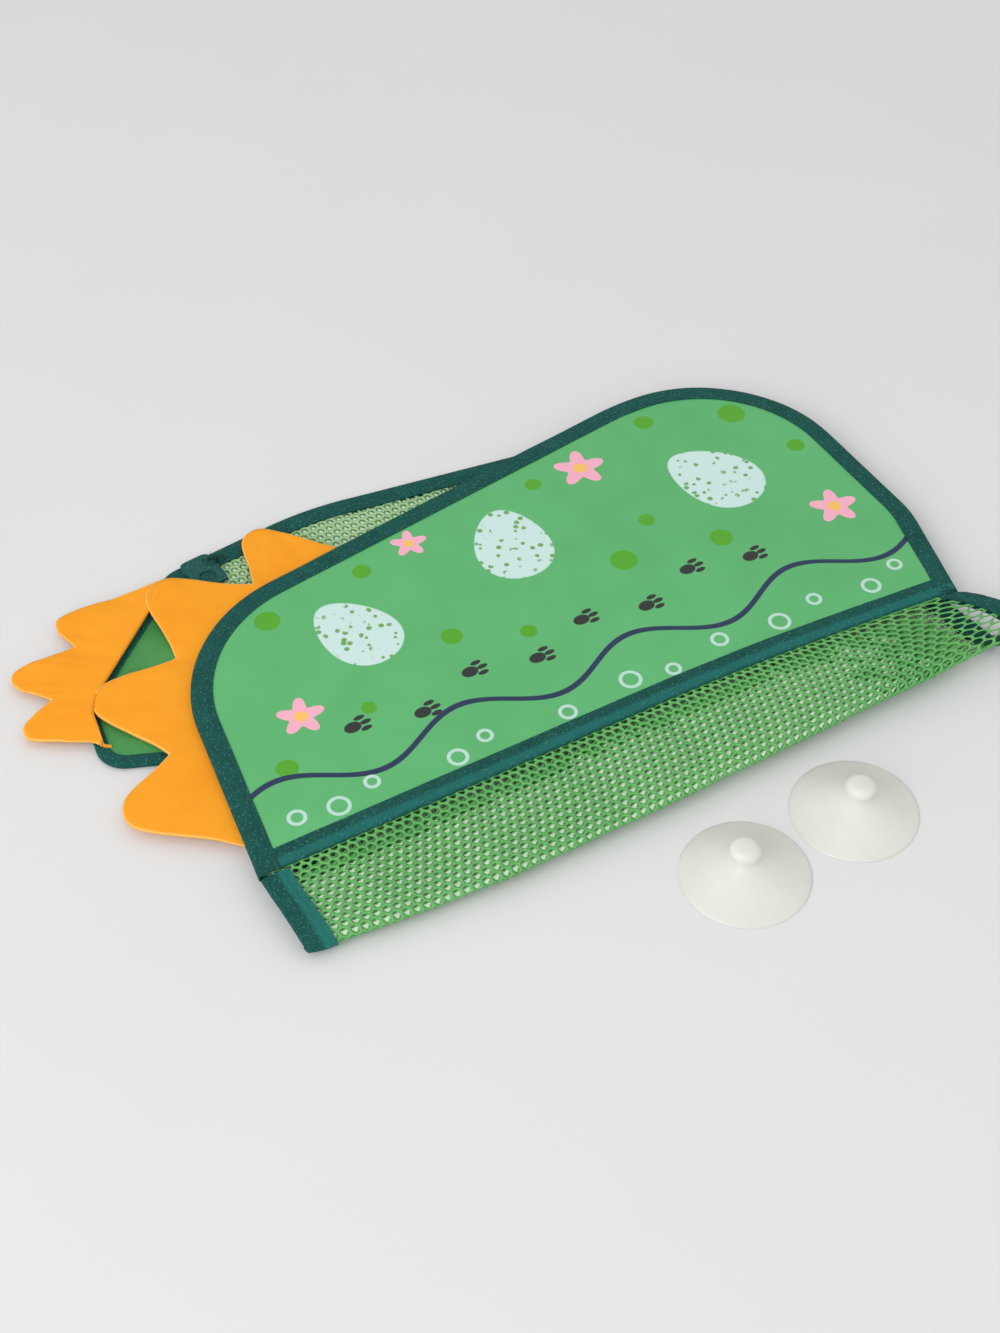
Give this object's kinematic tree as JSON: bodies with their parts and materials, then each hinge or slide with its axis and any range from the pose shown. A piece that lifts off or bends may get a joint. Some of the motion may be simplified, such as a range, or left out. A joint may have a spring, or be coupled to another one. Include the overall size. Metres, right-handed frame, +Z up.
{
  "type": "bath toy organizer",
  "caption": "Flat-folding bath toy pocket: stiffened cloth front with taped edges and felt frills, netting back and roll, side gussets, hanging tabs and loose suction cups.",
  "frame": {"origin": "on the table, under the middle of the bounding box of the organizer and its loose cups", "axes": "+X along the bottom fold to the right, +Y from the fold to the mouth, +Z up from the table"},
  "size_m": [0.419, 0.315, 0.021],
  "materials": {
    "print_cloth": "smooth printed polyester, slight sheen",
    "lining_cloth": "plain woven",
    "stiffener_board": "foam sheet",
    "gusset_cloth": "smooth polyester, slight sheen",
    "binding_tape": "woven tape",
    "netting": "knitted netting",
    "felt": "felt",
    "webbing": "woven webbing",
    "cup_vinyl": "milky, semi-gloss"
  },
  "bodies": {
    "pocket": {"back_mesh": "netting", "back_binding": "binding_tape", "left_cup_tab": "webbing", "right_cup_tab": "webbing", "pocket_mesh_front": "netting", "pocket_mesh_toe": "netting", "left_end_binding": "binding_tape", "right_end_binding": "binding_tape"},
    "gussets": {"left_gusset": "gusset_cloth", "left_gusset_binding": "binding_tape", "side_frill": "felt", "right_gusset": "gusset_cloth", "right_gusset_binding": "binding_tape"},
    "front": {"front_panel": "print_cloth", "front_stiffener": "stiffener_board", "front_lining": "lining_cloth", "front_binding": "binding_tape", "hem_binding": "binding_tape", "front_frill": "felt"},
    "left_cup": {"left_suction_cup": "cup_vinyl"},
    "right_cup": {"right_suction_cup": "cup_vinyl"}
  },
  "joints": [
    {"name": "gusset_unfold", "type": "hinge", "parent": "pocket", "child": "gussets", "pos_m": [-0.00075, -0.04023, 0.0111], "axis": [1, 0, 0], "range_deg": [0, 22]},
    {"name": "pocket_open", "type": "hinge", "parent": "gussets", "child": "front", "pos_m": [-0.00075, -0.04023, 0.0111], "axis": [1, 0, 0], "range_deg": [0, 22]},
    {"name": "left_cup_lift", "type": "slide", "parent": "pocket", "child": "left_cup", "axis": [0, 0, 1], "range_m": [0, 0.1]},
    {"name": "right_cup_lift", "type": "slide", "parent": "pocket", "child": "right_cup", "axis": [0, 0, 1], "range_m": [0, 0.1]}
  ],
  "couplings": [
    {"joint": "gusset_unfold", "follows": "pocket_open", "ratio": 1}
  ]
}
